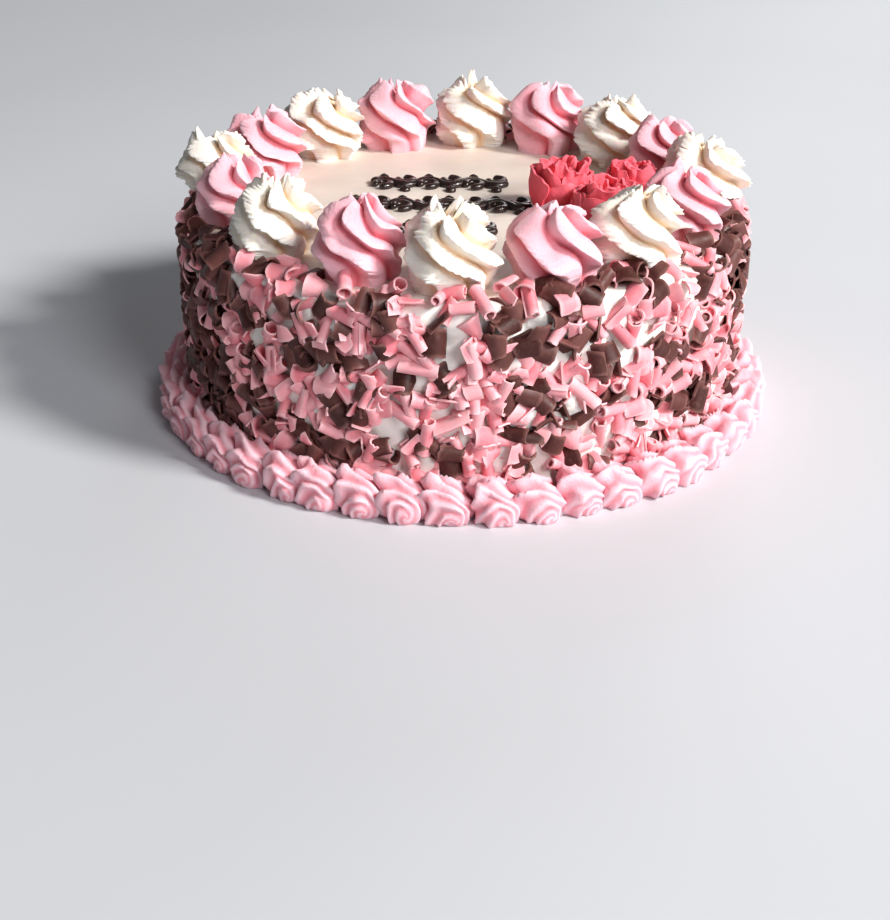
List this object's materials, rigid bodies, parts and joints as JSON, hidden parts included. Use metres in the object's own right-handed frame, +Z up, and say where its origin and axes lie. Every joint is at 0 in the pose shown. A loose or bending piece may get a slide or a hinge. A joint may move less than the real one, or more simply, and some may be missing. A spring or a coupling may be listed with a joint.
{
  "type": "strawberry chocolate cake",
  "caption": "Round cream-coated celebration cake with chocolate and strawberry curls on its side, a ring of piped swirls, piped roses, a scroll ornament and a shell border.",
  "frame": {"origin": "middle of the cake's flat underside", "axes": "+Z up through the middle of the cake, -Y towards the front"},
  "size_m": [0.2417, 0.2418, 0.1038],
  "materials": {
    "coat": "soft pale cream icing",
    "white_cream": "soft warm white piped cream",
    "pink_cream": "soft pink piped cream",
    "border_cream": "soft pale pink piped cream",
    "rose_cream": "soft strawberry red piped cream",
    "milk_chocolate": "satin milk chocolate",
    "strawberry_chocolate": "satin strawberry pink chocolate",
    "dark_chocolate": "glossy dark chocolate piping"
  },
  "bodies": {
    "root": {"cake": "coat", "shell_border": "border_cream", "swirl_cream_1": "white_cream", "swirl_cream_2": "white_cream", "swirl_cream_3": "white_cream", "swirl_cream_4": "white_cream", "swirl_cream_5": "white_cream", "swirl_cream_6": "white_cream", "swirl_cream_7": "white_cream", "swirl_cream_8": "white_cream", "swirl_pink_1": "pink_cream", "swirl_pink_2": "pink_cream", "swirl_pink_3": "pink_cream", "swirl_pink_4": "pink_cream", "swirl_pink_5": "pink_cream", "swirl_pink_6": "pink_cream", "swirl_pink_7": "pink_cream", "swirl_pink_8": "pink_cream", "rose_1": "rose_cream", "rose_2": "rose_cream", "rose_3": "rose_cream"}
  },
  "joints": []
}
